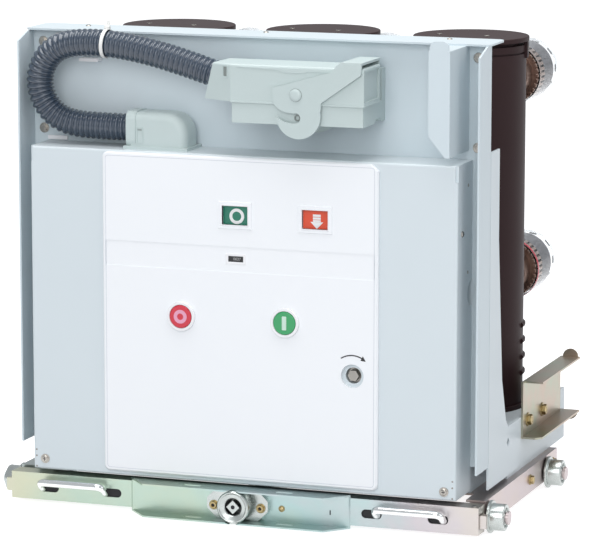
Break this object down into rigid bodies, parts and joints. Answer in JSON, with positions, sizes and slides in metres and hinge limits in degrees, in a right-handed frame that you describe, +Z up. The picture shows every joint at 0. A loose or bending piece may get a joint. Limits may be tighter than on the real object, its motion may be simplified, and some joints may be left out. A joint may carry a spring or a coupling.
{
  "type": "vacuum circuit breaker",
  "caption": "Indoor three-pole vacuum circuit breaker on a racking truck, with a control panel, contact arms at the rear and a secondary plug on a flexible conduit.",
  "frame": {"origin": "centre of the footprint, on the plane that the wheels stand on", "axes": "+Z up, the operating front with its panel faces -Y, +X to the right of a person facing the panel"},
  "size_m": [0.704, 0.66, 0.6385],
  "materials": {
    "painted_sheet": "satin powder coat",
    "panel_plastic": "satin",
    "pole_epoxy": "satin cast epoxy",
    "contact_copper": "silvered copper",
    "clear_cover": "clear",
    "zinc_steel": "zinc plate with a yellow-green bloom",
    "wheel_steel": "turned and zinc plated",
    "handle_chrome": "polished",
    "gold_chromate": "gold chromate",
    "plug_plastic": "matte",
    "conduit_plastic": "corrugated, glossy",
    "trip_red": "glossy",
    "close_green": "glossy",
    "collar_plastic": "glossy",
    "indicator_green": "glossy",
    "indicator_orange": "glossy",
    "counter_black": "matte",
    "shaft_steel": "turned"
  },
  "bodies": {
    "breaker": {"screen_plate": "painted_sheet", "top_plate": "painted_sheet", "side_plates": "painted_sheet", "mechanism_housing": "painted_sheet", "front_cover": "painted_sheet", "guard_bracket": "painted_sheet", "base_frame": "painted_sheet", "front_panel": "panel_plastic", "pole_left": "pole_epoxy", "pole_centre": "pole_epoxy", "pole_right": "pole_epoxy", "pole_caps": "pole_epoxy", "pole_mounts": "pole_epoxy", "upper_contacts": "contact_copper", "lower_contacts": "contact_copper", "upper_contact_covers": "clear_cover", "lower_contact_covers": "clear_cover", "side_rails": "zinc_steel", "truck_floor": "zinc_steel", "racking_nut": "zinc_steel", "shutter_brackets": "gold_chromate", "plug_shell": "plug_plastic", "plug_base": "plug_plastic", "cable_gland": "plug_plastic", "conduit": "conduit_plastic", "button_collars": "collar_plastic", "position_indicator": "indicator_green", "charge_indicator": "indicator_orange", "operation_counter": "counter_black"},
    "racking_beam": {"front_beam": "zinc_steel", "beam_centre": "zinc_steel", "racking_boss": "zinc_steel", "guide_bars": "zinc_steel"},
    "racking_spindle": {"racking_screw": "zinc_steel"},
    "latch_left": {"latch_bolt_left": "zinc_steel", "pull_handle_left": "handle_chrome"},
    "latch_right": {"latch_bolt_right": "zinc_steel", "pull_handle_right": "handle_chrome"},
    "trip_push": {"trip_button": "trip_red"},
    "close_push": {"close_button": "close_green"},
    "charging_spindle": {"charging_shaft": "shaft_steel"},
    "plug_lever": {"locking_lever": "plug_plastic"},
    "wheel_front_left_body": {"wheel_front_left": "wheel_steel"},
    "wheel_front_right_body": {"wheel_front_right": "wheel_steel"},
    "wheel_rear_left_body": {"wheel_rear_left": "wheel_steel"},
    "wheel_rear_right_body": {"wheel_rear_right": "wheel_steel"}
  },
  "joints": [
    {"name": "beam_slide", "type": "slide", "parent": "breaker", "child": "racking_beam", "axis": [0, -1, 0], "range_m": [0, 0.2]},
    {"name": "screw_turn", "type": "hinge", "parent": "racking_beam", "child": "racking_spindle", "pos_m": [0, -0.318, 0.02375], "axis": [0, 1, 0], "continuous": true},
    {"name": "latch_left_draw", "type": "slide", "parent": "racking_beam", "child": "latch_left", "axis": [1, 0, 0], "range_m": [0, 0.016], "stiffness_N_per_m": 400, "springref_m": -0.02},
    {"name": "latch_right_draw", "type": "slide", "parent": "racking_beam", "child": "latch_right", "axis": [-1, 0, 0], "range_m": [0, 0.016], "stiffness_N_per_m": 400, "springref_m": -0.02},
    {"name": "trip_press", "type": "slide", "parent": "breaker", "child": "trip_push", "axis": [0, 1, 0], "range_m": [0, 0.008], "stiffness_N_per_m": 500, "springref_m": -0.004},
    {"name": "close_press", "type": "slide", "parent": "breaker", "child": "close_push", "axis": [0, 1, 0], "range_m": [0, 0.008], "stiffness_N_per_m": 500, "springref_m": -0.004},
    {"name": "charging_turn", "type": "hinge", "parent": "breaker", "child": "charging_spindle", "pos_m": [0.155, -0.29, 0.203], "axis": [0, -1, 0], "continuous": true},
    {"name": "plug_lever_swing", "type": "hinge", "parent": "breaker", "child": "plug_lever", "pos_m": [0.0865, -0.285, 0.565], "axis": [0, -1, 0], "range_deg": [0, 90]},
    {"name": "wheel_front_left_roll", "type": "hinge", "parent": "breaker", "child": "wheel_front_left_body", "pos_m": [-0.3365, -0.254, 0.0215], "axis": [1, 0, 0], "continuous": true},
    {"name": "wheel_front_right_roll", "type": "hinge", "parent": "breaker", "child": "wheel_front_right_body", "pos_m": [0.3365, -0.254, 0.0215], "axis": [1, 0, 0], "continuous": true},
    {"name": "wheel_rear_left_roll", "type": "hinge", "parent": "breaker", "child": "wheel_rear_left_body", "pos_m": [-0.3365, 0.021, 0.0215], "axis": [1, 0, 0], "continuous": true},
    {"name": "wheel_rear_right_roll", "type": "hinge", "parent": "breaker", "child": "wheel_rear_right_body", "pos_m": [0.3365, 0.021, 0.0215], "axis": [1, 0, 0], "continuous": true}
  ],
  "couplings": [
    {"joint": "screw_turn", "follows": "beam_slide", "rad_per_m": 628.32}
  ]
}
